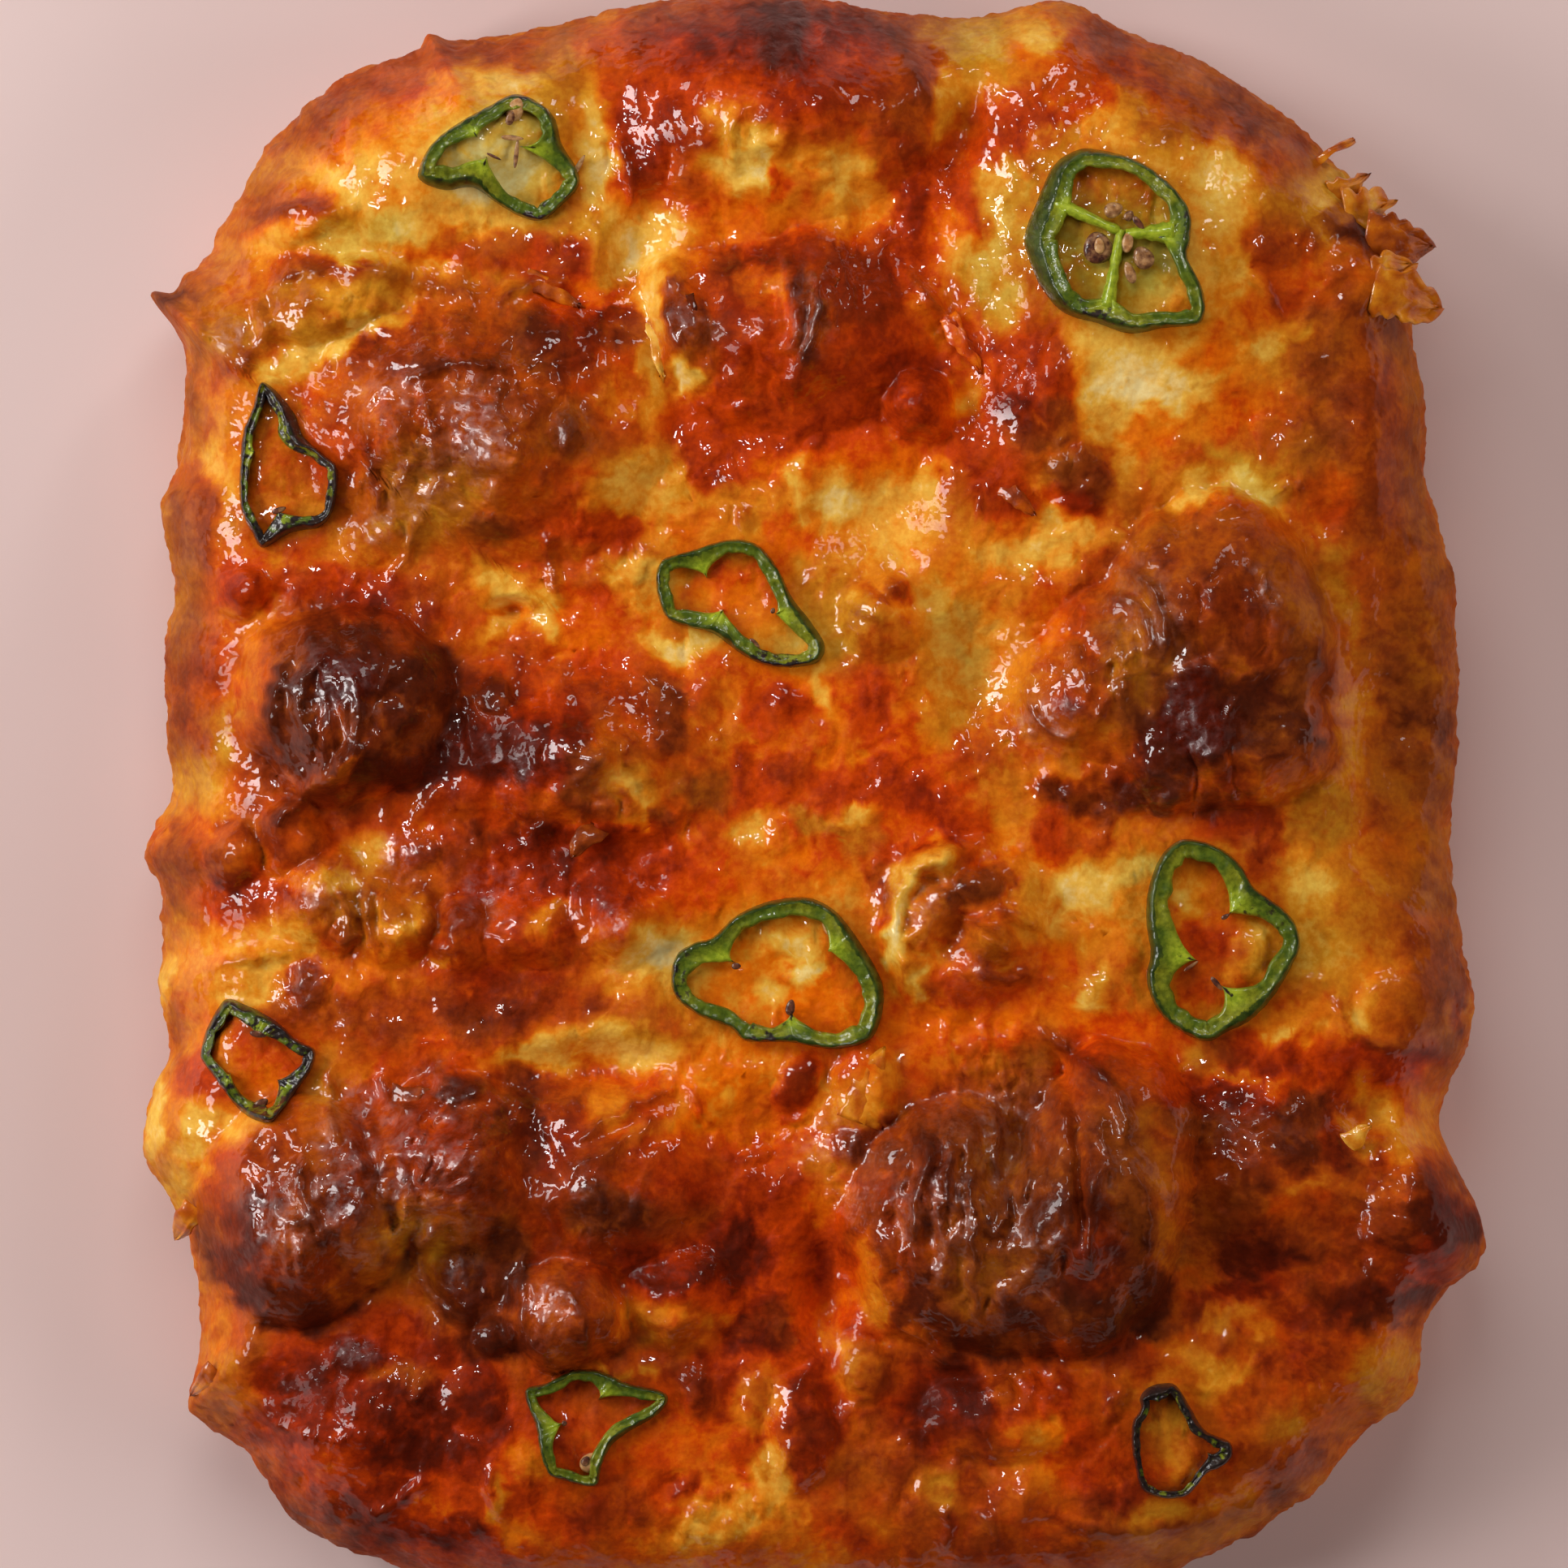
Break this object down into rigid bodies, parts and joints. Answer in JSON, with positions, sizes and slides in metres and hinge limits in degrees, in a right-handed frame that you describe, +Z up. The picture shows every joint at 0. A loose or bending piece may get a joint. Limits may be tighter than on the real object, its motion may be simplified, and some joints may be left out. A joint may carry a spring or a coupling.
{
  "type": "focaccia",
  "caption": "Rectangular focaccia loaf with a flat base, a domed and blistered browned crust, and thin rings of green chilli pepper lying in it.",
  "frame": {"origin": "centre of the loaf's bounding box, on the flat base", "axes": "+Z up out of the crust, +Y along the loaf's length towards the far short end, +X to the right"},
  "size_m": [0.1991, 0.2391, 0.057],
  "materials": {
    "crust": "oven-browned crust under a thin film of oil: cream and gold in the hollows, red-brown to near black on the bubbles",
    "pepper_green": "fresh dark green skin with lime flesh, oily",
    "pepper_charred": "olive flesh with skin charred nearly black, oily"
  },
  "bodies": {
    "root": {"focaccia_loaf": "crust", "pepper_ring_1": "pepper_green", "pepper_ring_2": "pepper_green", "pepper_ring_3": "pepper_charred", "pepper_ring_4": "pepper_green", "pepper_ring_5": "pepper_green", "pepper_ring_6": "pepper_green", "pepper_ring_7": "pepper_charred", "pepper_ring_8": "pepper_green", "pepper_ring_9": "pepper_charred"}
  },
  "joints": []
}
